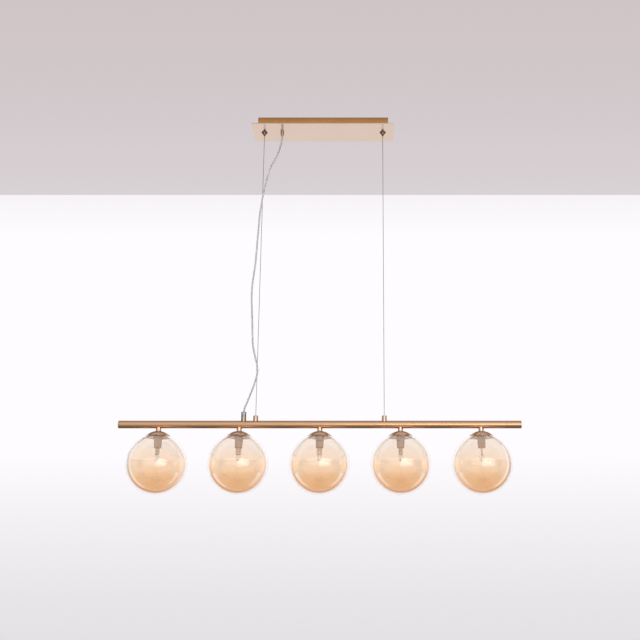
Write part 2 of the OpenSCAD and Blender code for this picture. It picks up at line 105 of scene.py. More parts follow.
# The room: its wall behind the lamp and its window wall in front.
WALL_Y = 0.4955
FRONT_Y = -2.7
FLOOR_Z = -2.6

# The cord's way from the plate to the bar, in millimetres.
CORD_PATH = [
    (-112, 0, -19), (-112, 0, -30), (-112, 0, -40), (-112.6, -0.5, -50),
    (-114.5, -1, -62), (-118, -2, -78), (-124, -3, -98), (-131, -4, -113),
    (-138, -5, -128), (-144, -5, -145), (-148, -5, -160), (-153, -5, -186),
    (-158.5, -5, -215), (-162.5, -5, -243), (-165.5, -5, -272),
    (-167, -5, -300), (-168.5, -5, -328), (-170, -5, -356),
    (-171.5, -4.5, -384), (-173.5, -4, -411), (-176.5, -4, -438),
    (-179, -4, -465), (-179.6, -4, -492), (-178.4, -4, -519),
    (-176.8, -4, -546), (-175.4, -4, -572), (-174, -4, -598),
    (-171.8, -4, -625), (-166.5, -4, -650), (-161.5, -4, -668),
    (-159, -4, -686), (-160.4, -4, -702), (-167, -4, -727),
    (-176, -3.5, -752), (-183.4, -1.6, -771), (-188, -0.4, -782),
    (-190, 0, -792), (-190, 0, -800), (-190, 0, -811),
]


# Camera
def place_camera():
    bpy.ops.object.select_all(action="DESELECT")
    bpy.ops.object.camera_add(
        location=(0.1114, -2.3041, -1.1873), rotation=(math.radians(105.354), 0, 0)
    )
    camera = bpy.context.object
    camera.name = "front_camera"
    camera.data.sensor_width = 36
    camera.data.lens = FOCAL_PIXELS / FRAME_PIXELS * 36
    camera.data.shift_x = -0.0699
    camera.data.clip_end = 60
    bpy.context.scene.camera = camera


place_camera()


# Modelling steps
def deselect():
    if bpy.context.object and bpy.context.object.mode == "EDIT":
        bpy.ops.object.mode_set(mode="OBJECT")
    bpy.ops.object.select_all(action="DESELECT")


def pick(piece):
    deselect()
    piece.select_set(True)
    bpy.context.view_layer.objects.active = piece


def opened(piece):
    """Open the piece's mesh for editing, selected all over."""
    pick(piece)
    bpy.ops.object.mode_set(mode="EDIT")
    bpy.ops.mesh.select_all(action="SELECT")


def applied(piece, kind, **settings):
    """Give the piece a modifier with those settings and apply it."""
    pick(piece)
    modifier = piece.modifiers.new(kind.lower(), kind)
    for name, value in settings.items():
        setattr(modifier, name, value)
    bpy.ops.object.modifier_apply(modifier=modifier.name)
    return piece


def settle(piece, angle=35, weigh=True):
    """Put the piece's place into its mesh and shade it smooth up to an angle, flat faces staying flat."""
    pick(piece)
    bpy.ops.object.transform_apply(location=True, rotation=True, scale=True)
    bpy.ops.object.shade_smooth_by_angle(angle=math.radians(angle))
    if weigh:
        applied(piece, "WEIGHTED_NORMAL", keep_sharp=True, weight=80)
    return piece


def merged(piece, outwards=True):
    """Merge the piece's doubled points and turn its faces outwards."""
    opened(piece)
    bpy.ops.mesh.remove_doubles(threshold=1e-6)
    if outwards:
        bpy.ops.mesh.normals_make_consistent(inside=False)
    bpy.ops.object.mode_set(mode="OBJECT")
    return piece


def turned(name, rings, sides=64, closed="", angle=35, weigh=True):
    """A part turned on a lathe about Z, from rings of radius and height that are pulled out in order.

    Closed says which ends get a flat face: start, both, or neither.
    """
    deselect()
    radius, height = rings[0]
    bpy.ops.mesh.primitive_circle_add(
        vertices=sides, radius=radius, fill_type="NGON" if closed else "NOTHING", location=(0, 0, height)
    )
    piece = bpy.context.object
    piece.name = name
    opened(piece)
    if closed:
        bpy.ops.mesh.select_all(action="DESELECT")
        bpy.ops.mesh.select_non_manifold()
    for (near, low), (far, high) in zip(rings, rings[1:]):
        bpy.ops.mesh.extrude_edges_move(TRANSFORM_OT_translate={"value": (0, 0, high - low)})
        if abs(far - near) > 1e-9:
            scale = far / near
            bpy.ops.transform.resize(value=(scale, scale, 1), center_override=(0, 0, high))
    if closed == "both":
        bpy.ops.mesh.edge_face_add()
    return settle(merged(piece), angle, weigh)


def arc(radius, height, start, end, steps):
    """Rings on a sphere of that radius, by angle above its middle, in degrees."""
    out = []
    for i in range(steps + 1):
        a = math.radians(start + (end - start) * i / steps)
        out.append((max(radius * math.cos(a), 0.0), height + radius * math.sin(a)))
    return out


def bevelled(piece, width, segments=2, angle=40):
    return applied(
        piece, "BEVEL", width=width, segments=segments, limit_method="ANGLE",
        angle_limit=math.radians(angle),
    )


def block(name, low, high):
    """A box between two corners, to be shaped further."""
    deselect()
    middle = [(a + b) / 2 for a, b in zip(low, high)]
    bpy.ops.mesh.primitive_cube_add(size=1, location=middle)
    piece = bpy.context.object
    piece.name = name
    piece.scale = [b - a for a, b in zip(low, high)]
    bpy.ops.object.transform_apply(location=True, rotation=True, scale=True)
    return piece


def slab(name, low, high, bevel=0.0003, segments=2):
    """A box between two corners with eased edges."""
    return settle(bevelled(block(name, low, high), bevel, segments))


def choose_faces(piece, test):
    """Open the piece's mesh with the faces selected that pass the test."""
    opened(piece)
    mesh = bmesh.from_edit_mesh(piece.data)
    for face in mesh.faces:
        face.select = test(face)
    bmesh.update_edit_mesh(piece.data)


def joined(name, pieces):
    deselect()
    for piece in pieces:
        piece.select_set(True)
    bpy.context.view_layer.objects.active = pieces[0]
    bpy.ops.object.join()
    whole = bpy.context.object
    whole.name = name
    return whole


def cut_by(piece, tools):
    for tool in tools:
        applied(piece, "BOOLEAN", operation="DIFFERENCE", solver="EXACT", object=tool)
        bpy.data.objects.remove(tool)
    return settle(piece)


def moved(piece, matrix):
    piece.data.transform(matrix)
    piece.data.update()
    return piece


def shifted(piece, x=0.0, y=0.0, z=0.0):
    return moved(piece, Matrix.Translation((x, y, z)))


def along_x(piece, sign=1):
    """Lay a part that was turned about Z along X, its height becoming its place along X."""
    return moved(piece, Matrix.Rotation(math.radians(90 * sign), 4, "Y"))


def copied(piece, name):
    twin = piece.copy()
    twin.data = piece.data.copy()
    twin.name = name
    bpy.context.collection.objects.link(twin)
    return twin


def cad_node(name):
    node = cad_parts[name]
    return node if hasattr(node, "data") else bpy.data.objects[name]


def softened(node, width):
    """A copy of a CAD node with its flat faces merged and its edges eased."""
    piece = copied(cad_node(node), node + "_finished")
    for key in [k for k in piece.keys() if k.startswith("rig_")]:
        del piece[key]
    piece.parent = None
    piece.matrix_world = Matrix.Identity(4)
    opened(piece)
    bpy.ops.mesh.remove_doubles(threshold=1e-6)
    bpy.ops.mesh.dissolve_limited(angle_limit=math.radians(0.5))
    bpy.ops.object.mode_set(mode="OBJECT")
    return settle(bevelled(piece, width))


def dressed(piece, material):
    piece.data.materials.clear()
    piece.data.materials.append(material)
    return piece


def fit(piece, material, body, nodes=()):
    """Give a finished piece its material, when one is given, and its body, and hide the nodes it stands
    for.
    """
    if material:
        dressed(piece, material)
    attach(piece, body)
    if nodes:
        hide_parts(*nodes)
    return piece


# Finishes
class Nodes:
    """A node tree that is built from a few shared steps."""

    def __init__(self, owner):
        owner.use_nodes = True
        self.tree = owner.node_tree

    def add(self, kind, inputs=(), **settings):
        """A new node with its settings and its inputs, each a plain value or another node's output."""
        node = self.tree.nodes.new("ShaderNode" + kind)
        for name, value in settings.items():
            setattr(node, name, value)
        for socket, value in dict(inputs).items():
            self.feed(node.inputs[socket], value)
        return node

    def feed(self, socket, value):
        if isinstance(value, bpy.types.NodeSocket):
            self.tree.links.new(value, socket)
        else:
            socket.default_value = value

    def math(self, operation, *values):
        value = values[0]
        for other in values[1:]:
            value = self.add("Math", {0: value, 1: other}, operation=operation).outputs["Value"]
        return value

    def between(self, value, low, high, start=0.0, end=1.0, **settings):
        """The value's way from start to end, laid on low to high."""
        span = {"Value": value, "From Min": start, "From Max": end, "To Min": low, "To Max": high}
        return self.add("MapRange", span, **settings).outputs["Result"]

    def eased(self, value, dark, bright):
        """A soft step from 0 where the value is dark to 1 where it is bright."""
        low, high = (0.0, 1.0) if bright > dark else (1.0, 0.0)
        ends = sorted((dark, bright))
        return self.between(value, low, high, *ends, interpolation_type="SMOOTHSTEP")

    def ramp(self, value, stops):
        """A colour, or a level of grey, at each of several stops."""
        node = self.add("ValToRGB", {"Fac": value})
        elements = node.color_ramp.elements
        while len(elements) < len(stops):
            elements.new(0.5)
        for element, (at, colour) in zip(elements, stops):
            element.position = at
            element.color = (*(colour if isinstance(colour, tuple) else (colour,) * 3), 1)
        return node.outputs["Color"]

    def blended(self, share, under, over, blend_type="MIX"):
        return self.add(
            "Mix", {"Factor": share, "A": under, "B": over}, data_type="RGBA", blend_type=blend_type
        ).outputs["Result"]

    def mixed(self, share, first, second):
        return self.add("MixShader", {"Fac": share, 1: first, 2: second}).outputs["Shader"]

    def show(self, shader, output="Material Output"):
        self.feed(self.tree.nodes[output].inputs["Surface"], shader)


class Finish(Nodes):
    """A material whose patterns lie in the piece's own coordinates."""

    def __init__(self, name):
        self.material = bpy.data.materials.new(name)
        super().__init__(self.material)
        self.shader = self.tree.nodes["Principled BSDF"]
        self.place = self.add("TexCoord").outputs["Object"]

    def along(self, axis):
        return self.add("SeparateXYZ", {"Vector": self.place}).outputs[axis]

    def facing(self):
        return self.add("LayerWeight", {"Blend": 0.5}).outputs["Facing"]

    def noise(self, scale=(1, 1, 1), size=10.0, detail=4.0, roughness=0.55):
        place = self.add("Mapping", {"Scale": scale, "Vector": self.place}).outputs["Vector"]
        return self.add(
            "TexNoise", {"Scale": size, "Detail": detail, "Roughness": roughness, "Vector": place}
        ).outputs["Fac"]

    def toned(self, axis, stops):
        """Tones at places along one axis."""
        low, high = stops[0][0], stops[-1][0]
        share = self.between(self.along(axis), 0.0, 1.0, low, high)
        return self.ramp(share, [((at - low) / (high - low), tone) for at, tone in stops])

    def glow(self, colour, strength=1.0):
        return self.add("Emission", {"Color": (*colour, 1), "Strength": strength}).outputs["Emission"]

    def bump(self, value, strength, depth):
        bump = self.add("Bump", {"Strength": strength, "Distance": depth, "Height": value})
        self.set(Normal=bump.outputs["Normal"])

    def set(self, **values):
        for name, value in values.items():
            self.feed(self.shader.inputs[name.replace("_", " ")], value)


def metal(name, dark, light, rough, grain, grain_size=8.0, bump=0.05, mottling=14.0,
          edge_shade=None, turns_from=0.35, turns_to=0.85, height_shade=None):
    """Metal with drawn grain, slow tone changes, painted shade on edges turned from the view and painted
    shade by height.
    """
    finish = Finish(name)
    streaks = finish.noise(scale=grain, size=grain_size, detail=5.0, roughness=0.65)
    slow = finish.noise(size=mottling, detail=2.0)
    tone = finish.add("Mix", {"Factor": 0.4, "A": streaks, "B": slow}, data_type="FLOAT")
    colour = finish.ramp(tone.outputs["Result"], [(0.3, dark), (0.7, light)])
    # Painted shade: the colour darkens where the surface turns away from the view.
    if edge_shade:
        turned_away = finish.between(finish.facing(), 0.0, 1.0, turns_from, turns_to)
        colour = finish.blended(turned_away, colour, (*edge_shade, 1))
    # Painted shade: the colour is darkened by height.
    if height_shade:
        colour = finish.blended(1.0, colour, finish.toned("Z", height_shade), "MULTIPLY")
    finish.set(Metallic=1.0, Base_Color=colour, Roughness=finish.between(streaks, *rough, 0.25, 0.75))
    finish.bump(streaks, bump, 0.00005)
    return finish.material


# The edges' colours given below are painted shade where a surface turns from the view.
satin_gold = metal(
    "satin_gold", (0.73, 0.45, 0.263), (0.80, 0.51, 0.31), (0.27, 0.34), (4, 420, 420),
    edge_shade=(0.33, 0.18, 0.08), turns_from=0.2, turns_to=0.62,
)
satin_gold_box = metal(
    "satin_gold_box", (0.56, 0.29, 0.105), (0.72, 0.39, 0.16), (0.30, 0.46), (6, 500, 500),
    # Painted shade: the box darkens towards its top, where it meets the ceiling.
    height_shade=[(-0.0155, (1.0, 1.0, 1.0)), (-0.0103, (0.92, 0.91, 0.90)),
             (-0.00575, (0.80, 0.77, 0.72)), (BOX_TOP, (0.66, 0.58, 0.46))],
)
POLISH = {"grain": (40, 40, 220), "bump": 0.015}
polished_gold = metal(
    "polished_gold", (0.80, 0.60, 0.465), (0.88, 0.69, 0.55), (0.12, 0.20), **POLISH,
    edge_shade=(0.36, 0.23, 0.155), turns_from=0.35, turns_to=0.95,
)
fitting_gold = metal(
    "fitting_gold", (0.40, 0.335, 0.27), (0.47, 0.40, 0.325), (0.16, 0.26), **POLISH,
    edge_shade=(0.10, 0.075, 0.055), turns_from=0.1, turns_to=0.7,
)
stud_gold = metal(
    "stud_gold", (0.60, 0.435, 0.33), (0.68, 0.50, 0.385), (0.16, 0.24), **POLISH,
    edge_shade=(0.26, 0.16, 0.11), turns_from=0.12, turns_to=0.8,
)
# A darker copy of the polished gold for the grips and noses: painted shade.
grip_gold_shaded = metal(
    "grip_gold_shaded", (0.30, 0.18, 0.115), (0.38, 0.24, 0.16), (0.16, 0.26), **POLISH,
    edge_shade=(0.06, 0.03, 0.018), turns_from=0.1, turns_to=0.6,
)
holder_bronze = metal(
    "holder_bronze", (0.66, 0.49, 0.375), (0.76, 0.58, 0.455), (0.32, 0.40), (30, 30, 260),
    bump=0.03, edge_shade=(0.27, 0.18, 0.125), turns_from=0.3, turns_to=0.85,
)
plate_gold = metal(
    "plate_gold", (0.74, 0.575, 0.465), (0.80, 0.64, 0.52), (0.17, 0.25), (10, 60, 60), bump=0.008
)
zinc_steel = metal(
    "zinc_steel", (0.40, 0.41, 0.43), (0.62, 0.63, 0.64), (0.28, 0.5), (60, 60, 60),
    grain_size=3.0, mottling=60,
)
cable_steel = metal(
    "cable_steel", (0.28, 0.275, 0.28), (0.50, 0.495, 0.50), (0.3, 0.45), (600, 600, 80)
)
core_metal = metal(
    "tinned_cores", (0.42, 0.42, 0.43), (0.66, 0.66, 0.66), (0.25, 0.42), (300, 300, 300)
)
tungsten = metal(
    "tungsten", (0.10, 0.095, 0.09), (0.2, 0.19, 0.18), (0.35, 0.5), (900, 900, 900)
)


def painted(name, dark, light, rough, size, gloss=0.5):
    """A plain moulded, fired or sleeved surface with slight mottling."""
    finish = Finish(name)
    grain = finish.noise(size=size, detail=5.0)
    finish.set(
        Base_Color=finish.ramp(grain, [(0.3, dark), (0.7, light)]),
        Roughness=finish.between(grain, *rough, 0.3, 0.7),
        Specular_IOR_Level=gloss,
    )
    finish.bump(grain, 0.05, 0.0001)
    return finish.material


ceramic = painted("ceramic", (0.80, 0.77, 0.70), (0.90, 0.88, 0.83), (0.3, 0.5), 400)
white_plastic = painted("white_plastic", (0.82, 0.82, 0.80), (0.90, 0.90, 0.88), (0.35, 0.5), 600)
jacket_vinyl = painted(
    "jacket_vinyl", (0.41, 0.405, 0.415), (0.45, 0.445, 0.455), (0.6, 0.7), 40, gloss=0.1
)


def wire_sleeves():
    """Brown sleeves on the wires towards the front and blue ones behind."""
    finish = Finish("wire_sleeves")
    side = finish.between(finish.along("Y"), 0.0, 1.0, -0.0001, 0.0001)
    grain = finish.noise(size=500, detail=3.0)
    finish.set(
        Base_Color=finish.ramp(side, [(0.45, (0.16, 0.055, 0.025)), (0.55, (0.03, 0.11, 0.36))]),
        Roughness=finish.between(grain, 0.35, 0.5),
    )
    finish.bump(grain, 0.04, 0.0001)
    return finish.material


sleeves = wire_sleeves()


def glass(name, shade=(1, 1, 1), depths=None, height=None, lens=0.0, outline_shade=None, outline_shade_fade=None,
          clear=1.0, rough=0.0, ior=1.45, lustre=None, waves=0.02):
    """Blown glass, clear to the lamps behind it.

    Its tint is one shade, or deepens down the piece through the depths and, as in a lens, towards its
    outline. The outline shade is painted shade that darkens the tint towards that outline by view angle,
    and may fade with height. A lustre is a coat of that index.
    """
    finish = Finish(name)
    wave = finish.noise(size=30, detail=2.0)
    facing, z = finish.facing(), finish.along("Z")
    if depths:
        level = finish.between(z, 0.0, 1.0, *height)
        level = finish.math("ADD", level, finish.between(facing, 0.0, lens, 0.05, 0.45))
        uneven = finish.between(finish.noise(size=9, detail=1.5), -0.035, 0.035)
        colour = finish.ramp(finish.math("ADD", level, uneven), depths)
    else:
        colour = finish.ramp(wave, [(0.2, shade), (0.8, tuple(min(1, c * 1.02) for c in shade))])
    # Painted shade: the tint darkens towards the outline by view angle.
    if outline_shade:
        share = finish.between(z, 1.0, 0.0, *outline_shade_fade) if outline_shade_fade else 1.0
        colour = finish.blended(share, colour, finish.ramp(facing, outline_shade), "MULTIPLY")
    if lustre:
        finish.set(Coat_Weight=1.0, Coat_IOR=lustre, Coat_Roughness=0.02)
    finish.set(
        Transmission_Weight=clear, IOR=ior, Base_Color=colour,
        Roughness=finish.between(wave, rough, rough + 0.02, 0.3, 0.7),
    )
    finish.bump(wave, waves, 0.0002)
    let_through = finish.add("BsdfTransparent", {"Color": colour}).outputs["BSDF"]
    shadow = finish.add("LightPath").outputs["Is Shadow Ray"]
    finish.show(finish.mixed(shadow, finish.shader.outputs["BSDF"], let_through))
    return finish.material


def down_the_globe(stops):
    """Tints given by height about the globe's middle, in millimetres, as shares of its inside."""
    return [(0.5 + z * MM / (2 * INNER_R), colour) for z, colour in stops]


globe_skin = glass(
    "globe_clear_skin", shade=(0.99, 0.985, 0.98), lustre=1.98, waves=0.006,
    # Painted shade: a dark ring inside the globe's outline by view angle, faded out above its middle.
    outline_shade=[(0.49, (1, 1, 1)), (0.54, (0.56, 0.48, 0.43)), (0.575, (0.60, 0.52, 0.475)),
         (0.62, (0.96, 0.885, 0.84)), (1.0, (0.99, 0.92, 0.88))],
    outline_shade_fade=(GLOBE_Z - 0.004, GLOBE_Z + 0.032),
)
globe_amber = glass(
    "globe_amber_lining",
    depths=down_the_globe([
        (-66, (0.965, 0.58, 0.30)),
        (-46, (0.965, 0.53, 0.242)),
        (-29, (0.965, 0.545, 0.255)),
        (-21, (0.965, 0.66, 0.41)),
        (-6, (0.97, 0.71, 0.475)),
        (14, (0.975, 0.755, 0.54)),
        (44, (0.985, 0.83, 0.67)),
        (70, (0.99, 0.91, 0.82)),
    ]),
    height=(GLOBE_Z - INNER_R, GLOBE_Z + INNER_R), lens=0.2,
)
# Painted shade: the capsule darkens towards its outline.
capsule_glass = glass(
    "capsule_glass", shade=(0.97, 0.97, 0.97), ior=1.5, outline_shade=[(0.35, (1, 1, 1)), (0.8, (0.80, 0.78, 0.76))]
)
pinch_glass = glass("pinch_glass", shade=(0.88, 0.80, 0.74), rough=0.3, ior=1.5, clear=0.6)
clear_plastic = glass("clear_plastic", shade=(0.86, 0.86, 0.88), rough=0.12, clear=0.85)
# Painted shade: the collar's sides turn dark towards its outline.
collar_plastic = glass(
    "collar_plastic", shade=(0.62, 0.60, 0.585), rough=0.12, clear=0.5,
    outline_shade=[(0.03, (1, 1, 1)), (0.38, (0.06, 0.055, 0.05))],
)


# Cords and cables
def smooth_route(points, steps):
    """A smooth route through the points, with that many steps from each to the next."""
    out = []
    for i in range(len(points) - 1):
        a, b = points[max(i - 1, 0)], points[i]
        c, d = points[i + 1], points[min(i + 2, len(points) - 1)]
        for k in range(steps):
            t = k / steps
            out.append(tuple(
                0.5 * (2 * q + (r - p) * t + (2 * p - 5 * q + 4 * r - s) * t * t
                       + (3 * q - p - 3 * r + s) * t ** 3)
                for p, q, r, s in zip(a, b, c, d)
            ))
    out.append(tuple(points[-1]))
    return out


def swept(name, route, radius, resolution=5):
    """A round line of that radius along a route, as a closed mesh tube."""
    deselect()
    curve = bpy.data.curves.new(name, "CURVE")
    curve.dimensions = "3D"
    curve.bevel_depth = radius
    curve.bevel_resolution = resolution
    curve.use_fill_caps = True
    line = curve.splines.new("POLY")
    line.points.add(len(route) - 1)
    for point, at in zip(line.points, route):
        point.co = (*at, 1)
    piece = bpy.data.objects.new(name, curve)
    bpy.context.collection.objects.link(piece)
    pick(piece)
    bpy.ops.object.convert(target="MESH")
    return settle(merged(bpy.context.object), 60, False)


def twisted(route, radius, turn_length, phase):
    """Route of a wire wound round another route."""
    out, gone = [], 0.0
    for i, at in enumerate(route):
        if i:
            gone += math.dist(at, route[i - 1])
        heading = Vector(route[min(i + 1, len(route) - 1)]) - Vector(route[max(i - 1, 0)])
        heading.normalize()
        side = heading.cross(Vector((0, 1, 0))).normalized()
        front = heading.cross(side)
        angle = phase + 2 * math.pi * gone / turn_length
        out.append(tuple(Vector(at) + radius * (math.cos(angle) * side + math.sin(angle) * front)))
    return out


def power_cord():
    points = [tuple(c * MM for c in p) for p in CORD_PATH]
    jacket = swept("power_cord_jacket", smooth_route(points, 9), CORD_D / 2)
    fine = smooth_route(points, 10)
    core = joined("power_cord_cores", [
        swept("cord_core_%d" % (k + 1), twisted(fine, CORE_OFFSET, CORE_TURN, k * math.pi), CORE_R, 2)
        for k in range(2)
    ])
    fit(jacket, jacket_vinyl, "left_cable", ("power_cord",))
    fit(core, core_metal, "left_cable")
    return jacket, core


def stranded_cable(name, x):
    """Six strands laid round a middle one, wound by a screw along the whole cable."""
    valley, ridge, turns = 0.00062, 0.00013, 60
    deselect()
    bpy.ops.mesh.primitive_circle_add(
        vertices=24, radius=0.00064, fill_type="NOTHING", location=(0, 0, 0)
    )
    piece = bpy.context.object
    piece.name = name
    for vertex in piece.data.vertices:
        angle = math.atan2(vertex.co.y, vertex.co.x)
        lobe = valley + ridge * abs(math.cos(3 * angle)) ** 0.7
        vertex.co.x, vertex.co.y = lobe * math.cos(angle), lobe * math.sin(angle)
    applied(
        piece, "SCREW", axis="Z", angle=2 * math.pi * turns, screw_offset=CABLE_TOP - CABLE_END,
        steps=8 * turns, render_steps=8 * turns,
    )
    opened(piece)
    bpy.ops.mesh.select_all(action="DESELECT")
    bpy.ops.mesh.select_non_manifold()
    bpy.ops.mesh.fill()
    bpy.ops.mesh.select_all(action="SELECT")
    bpy.ops.mesh.normals_make_consistent(inside=False)
    bpy.ops.object.mode_set(mode="OBJECT")
    return shifted(settle(piece, 50, False), x=x, z=CABLE_END)


cord_jacket, cord_core = power_cord()
cables = []
for side, x in SIDES:
    cable = stranded_cable("steel_cable_" + side, x)
    fit(cable, cable_steel, side + "_cable", ("cable_" + side,))
    cables.append(cable)

clip = fit(softened("cord_clip", 0.0004), clear_plastic, "left_cable", ("cord_clip",))
for piece in cables:
    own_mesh(piece)
for piece in (cord_jacket, cord_core, clip):
    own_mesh(piece)


# Canopy
def shank_drills():
    """Cutting tools for the holes that the grips' shanks pass through."""
    cable_shank_r, cord_shank_r, low, high = 0.0052, 0.004, -0.032, -0.02
    drills = []
    for x, radius in ((-CABLE_X, cable_shank_r), (CABLE_X, cable_shank_r), (CORD_TOP_X, cord_shank_r)):
        drill = turned("shank_drill", [(radius, low), (radius, high)], closed="both")
        drills.append(shifted(drill, x=x))
    return drills


def canopy_box():
    """Folded sheet box, open towards the ceiling, with rounded corners and rolled edges."""
    box = block(
        "canopy_cover", (-CANOPY_END, -BOX_FRONT, BOX_BOTTOM), (CANOPY_END, BOX_FRONT, BOX_TOP)
    )
    choose_faces(box, lambda face: face.normal.z > 0.9)
    bpy.ops.mesh.delete(type="FACE")
    bevelled(box, 0.0011, 4)
    applied(box, "SOLIDIFY", thickness=BOX_SHEET, offset=-1, use_even_offset=True)
    return fit(cut_by(box, shank_drills()), satin_gold_box, "canopy", ("canopy_box",))


def face_plate():
    plate = slab(
        "canopy_face_plate", (-PLATE_END, -PLATE_FRONT, PLATE_BOTTOM),
        (PLATE_END, PLATE_FRONT, BOX_BOTTOM), 0.00035, 3,
    )
    cut_by(plate, shank_drills())
    return fit(plate, plate_gold, "canopy", ("canopy_plate",))


def end_screws():
    """A slotted screw in each short end of the box."""
    heads = []
    for sign in (-1, 1):
        head = turned(
            "canopy_screw_head",
            [(0.0012, 0.0022), (0.0026, 0.00205), (0.0034, 0.0016), (0.0039, 0.0009),
             (0.004, 0.00005), (0.002, 0.00005), (0.002, -0.0072), (0.0014, -0.008)],
            sides=48, closed="both",
        )
        slot = slab("driver_slot", (-0.0005, -0.005, 0.0012), (0.0005, 0.005, 0.004), 0.00005, 1)
        along_x(cut_by(head, [slot]), sign)
        heads.append(shifted(head, x=sign * CANOPY_END, z=SCREW_Z))
    heads = joined("canopy_end_screws", heads)
    return fit(heads, satin_gold_box, "canopy", ("canopy_screws",))


def cable_grip(side, x):
    """Flange, hollow-sided cone and threaded shank that hold a cable under the plate."""
    hole, bore, chamber, tip = CABLE_HOLE_R, 0.0026, 0.003, -0.0345
    cone = [
        (0.0058 - 0.0021 * t ** 0.75, -0.0295 - 0.005 * t)
        for t in (0.0, 0.15, 0.3, 0.45, 0.6, 0.75, 0.9, 0.97)
    ]
    grip = turned(
        "cable_grip_body_" + side,
        [(hole, -0.0182), (0.0046, -0.0182), (0.005, -0.0186), (0.005, -0.02795),
         (0.0077, -0.02795), (0.008, -0.02825), (0.008, -0.0291), (0.0077, -0.0295),
         (0.0062, -0.0295), *cone, (0.00345, tip), (bore, tip), (bore, -0.0254),
         (chamber, -0.0254), (chamber, -0.019), (hole, -0.019), (hole, -0.0182)],
        sides=72,
    )
    return fit(shifted(grip, x=x), grip_gold_shaded, "canopy", ("cable_grip_" + side,))


def release_nose(side, x):
    """Grooved nose that is pressed up into a grip to free its cable."""
    hole, nose_r, groove_r, top = CABLE_HOLE_R, 0.0023, 0.00205, -0.0275
    nose = turned(
        "release_button_" + side,
        [(hole, top), (nose_r, top), (nose_r, -0.0359), (groove_r, -0.0361), (groove_r, -0.0364),
         (nose_r, -0.0366), (nose_r, -0.0377), (0.0017, -0.0385), (0.0012, -0.0385),
         (hole, -0.0381), (hole, top)],
        sides=48,
    )
    return fit(
        shifted(nose, x=x), grip_gold_shaded, "nose_" + side, ("release_nose_" + side,)
    )


def top_cord_grip():
    hole, shank_r, body_r, groove_r, top = CORD_HOLE_R, 0.0038, 0.0045, 0.00425, -0.021
    grip = turned(
        "cord_grip_canopy",
        [(hole, top), (shank_r, top), (shank_r, -0.02805), (body_r, -0.02805), (body_r, -0.0322),
         (groove_r, -0.0324), (groove_r, -0.0328), (body_r, -0.033), (body_r, -0.0352),
         (0.0041, -0.0362), (0.0034, -0.037), (0.0027, -0.037), (hole, -0.0367), (hole, top)],
    )
    return fit(
        shifted(grip, x=CORD_TOP_X), holder_bronze, "canopy", ("cord_grip_top",)
    )


canopy_box()
face_plate()
end_screws()
for side, x in SIDES:
    cable_grip(side, x)
    release_nose(side, x)
top_cord_grip()


# Bar
def bar_tube():
    end, bore, eased_r = TUBE_END, TUBE_BORE_R, 0.0093
    tube = turned(
        "bar_brushed_tube",
        [(bore, -end), (eased_r, -end), (BAR_R, -end + 0.0002), (BAR_R, end - 0.0002),
         (eased_r, end), (bore, end), (bore, -end)],
        sides=96,
    )
    shifted(along_x(tube), z=BAR_Z)
    return fit(tube, satin_gold, "bar", ("bar_tube",))


def end_caps():
    """Turned plugs whose rims carry on the bar's outside past a fine seam."""
    for sign, side in ((-1, "left"), (1, "right")):
        cap = turned(
            "bar_end_cap_" + side,
            [(0.0078, 0.4855), (0.0082, 0.4859), (0.0082, TUBE_END), (0.0092, TUBE_END),
             (BAR_R, TUBE_END + 0.0003), (BAR_R, 0.4994), (0.0093, 0.4998), (0.0089, BAR_END)],
            sides=96, closed="both",
        )
        shifted(along_x(cap, sign), z=BAR_Z)
        fit(cap, satin_gold, "bar", ("end_cap_" + side,))


def cable_studs():
    """Polished studs on the bar in which the cables' crimped ends sit."""
    hole, thread, chamber, wall = 0.00125, THREAD_R, 0.0028, 0.006
    for side, x in SIDES:
        seat = turned(
            "cable_stud_" + side,
            [(hole, SEAT_TOP - 0.0003), (0.0016, SEAT_TOP), (0.0052, SEAT_TOP),
             (0.00575, SEAT_TOP - 0.0002), (wall, SEAT_TOP - 0.0007), (wall, BAR_Z + 0.0074),
             (thread, BAR_Z + 0.0074), (thread, BAR_Z + 0.0025), (chamber, BAR_Z + 0.0025),
             (chamber, -0.80445), (hole, -0.80445), (hole, SEAT_TOP - 0.0003)],
            sides=72,
        )
        fit(shifted(seat, x=x), stud_gold, "bar", ("cable_seat_" + side,))


def bar_gland():
    """Gland that the cord enters the bar through, with the clear collar on top of it."""
    hole, wall, groove_r = CORD_HOLE_R, GLAND_R, 0.0060
    body = turned(
        "cord_grip_bar_body",
        [(hole, -0.8013), (0.0058, -0.8013), (wall, -0.8017), (wall, -0.8031), (groove_r, -0.8033),
         (groove_r, -0.8037), (wall, -0.8039), (wall, BAR_Z + 0.0072), (THREAD_R, BAR_Z + 0.0072),
         (THREAD_R, BAR_Z + 0.0025), (hole, BAR_Z + 0.0025), (hole, -0.8013)],
        sides=72,
    )
    fit(shifted(body, x=CORD_BAR_X), fitting_gold, "bar", ("cord_grip_bar",))
    collar = turned(
        "cord_grip_collar",
        [(hole, -0.7926), (0.0028, -0.7923), (0.0055, -0.7923), (0.00605, -0.7926),
         (wall, -0.7931), (wall, -0.80125), (hole, -0.80125), (hole, -0.7926)],
        sides=72,
    )
    fit(shifted(collar, x=CORD_BAR_X), collar_plastic, "bar", ("cord_collar",))


bar_tube()
end_caps()
cable_studs()
bar_gland()


